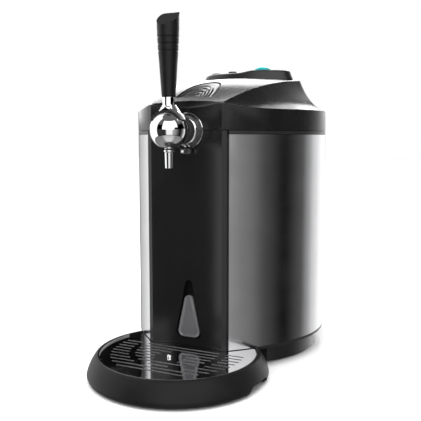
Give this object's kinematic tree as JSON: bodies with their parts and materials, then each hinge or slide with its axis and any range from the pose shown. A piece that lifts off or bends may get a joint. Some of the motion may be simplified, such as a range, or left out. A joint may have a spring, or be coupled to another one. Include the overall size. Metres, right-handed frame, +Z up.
{
  "type": "keg beer dispenser",
  "caption": "Countertop cooler for a party keg: brushed steel body, gloss front panel, hinged lid with console, chrome ball tap with tall handle, round drip tray.",
  "frame": {"origin": "on the worktop, in the middle of the object's footprint, drip tray and lid hinge included", "axes": "+Z up along the tap handle; -Y towards the user, where the tap and tray are; +Y towards the rear housing; +X to the right for someone facing the tap"},
  "size_m": [0.2718, 0.4404, 0.452],
  "materials": {
    "gloss_black": "gloss",
    "satin_black": "satin",
    "matt_black": "matt",
    "rubber": "matt",
    "brushed_steel": "brushed vertically, clear-coated",
    "chrome": "mirror",
    "mirror_steel": "dark mirror polish",
    "aluminium": "mill finish",
    "zinc": "zinc plated",
    "foam": "closed-cell foam",
    "ceramic": "matt ceramic",
    "smoke_lens": "smoked, gloss",
    "teal_cap": "satin",
    "grey_cap": "satin",
    "circuit_green": "solder mask"
  },
  "bodies": {
    "machine": {"base_plinth": "satin_black", "chamber_liner": "aluminium", "cold_block": "aluminium", "collar_ring": "rubber", "fan_frame": "matt_black", "floor_pan": "satin_black", "foot_front_left": "rubber", "foot_front_right": "rubber", "foot_rear_left": "rubber", "foot_rear_right": "rubber", "front_panel": "gloss_black", "heat_sink": "aluminium", "hinge_bracket": "satin_black", "hinge_pin": "zinc", "housing_screw_1": "zinc", "housing_screw_2": "zinc", "indicator_lamp": "circuit_green", "indicator_lens": "smoke_lens", "inner_body": "matt_black", "insulation_jacket": "foam", "keg_pad": "rubber", "lamp_bezel": "matt_black", "line_connector": "chrome", "peltier_module": "ceramic", "plinth_screw_1": "zinc", "plinth_screw_2": "zinc", "plinth_screw_3": "zinc", "plinth_screw_4": "zinc", "power_board": "circuit_green", "power_inlet": "matt_black", "rear_housing": "satin_black", "shank_nut": "zinc", "steel_wrap": "brushed_steel", "tap_body": "chrome", "tap_collar": "chrome", "tap_spout": "chrome", "temperature_probe": "zinc", "top_deck": "satin_black"},
    "lid": {"lid_shell": "satin_black", "lid_liner": "matt_black", "lid_seal": "rubber", "lid_insulation": "foam", "hinge_leaf": "satin_black", "console": "satin_black", "control_board": "circuit_green"},
    "tap_lever": {"lever_hood": "chrome", "tap_handle": "satin_black", "valve_spindle": "zinc"},
    "fan": {"fan_rotor": "matt_black"},
    "tray": {"drip_tray": "satin_black"},
    "plate": {"drip_plate": "mirror_steel", "plate_stud": "chrome"},
    "lid_release": {"release_pad": "gloss_black", "latch_tongue": "matt_black"},
    "power_key": {"power_button": "teal_cap"},
    "mode_key": {"mode_button": "gloss_black"},
    "light_key": {"light_button": "grey_cap"},
    "catch": {"tap_catch": "chrome"}
  },
  "joints": [
    {"name": "lid_hinge", "type": "hinge", "parent": "machine", "child": "lid", "pos_m": [0, 0.21425, 0.312], "axis": [-1, 0, 0], "range_deg": [0, 95]},
    {"name": "tap_lever_hinge", "type": "hinge", "parent": "machine", "child": "tap_lever", "pos_m": [0, -0.12525, 0.3117], "axis": [1, 0, 0], "range_deg": [0, 42]},
    {"name": "fan_spin", "type": "hinge", "parent": "machine", "child": "fan", "pos_m": [0, 0.20675, 0.112], "axis": [0, 1, 0], "continuous": true},
    {"name": "tray_slide", "type": "slide", "parent": "machine", "child": "tray", "axis": [0, -1, 0], "range_m": [0, 0.1]},
    {"name": "plate_lift", "type": "slide", "parent": "tray", "child": "plate", "axis": [0, 0, 1], "range_m": [0, 0.04]},
    {"name": "lid_release_press", "type": "slide", "parent": "lid", "child": "lid_release", "axis": [0, 0, -1], "range_m": [0, 0.0025], "stiffness_N_per_m": 600, "springref_m": -0.002},
    {"name": "power_key_press", "type": "slide", "parent": "lid", "child": "power_key", "axis": [0, 0, -1], "range_m": [0, 0.0018], "stiffness_N_per_m": 500, "springref_m": -0.0012},
    {"name": "mode_key_press", "type": "slide", "parent": "lid", "child": "mode_key", "axis": [0, 0, -1], "range_m": [0, 0.0015], "stiffness_N_per_m": 400, "springref_m": -0.001},
    {"name": "light_key_press", "type": "slide", "parent": "lid", "child": "light_key", "axis": [0, 0, -1], "range_m": [0, 0.0015], "stiffness_N_per_m": 400, "springref_m": -0.001},
    {"name": "catch_press", "type": "slide", "parent": "machine", "child": "catch", "axis": [0, 1, 0], "range_m": [0, 0.003], "stiffness_N_per_m": 500, "springref_m": -0.001}
  ]
}
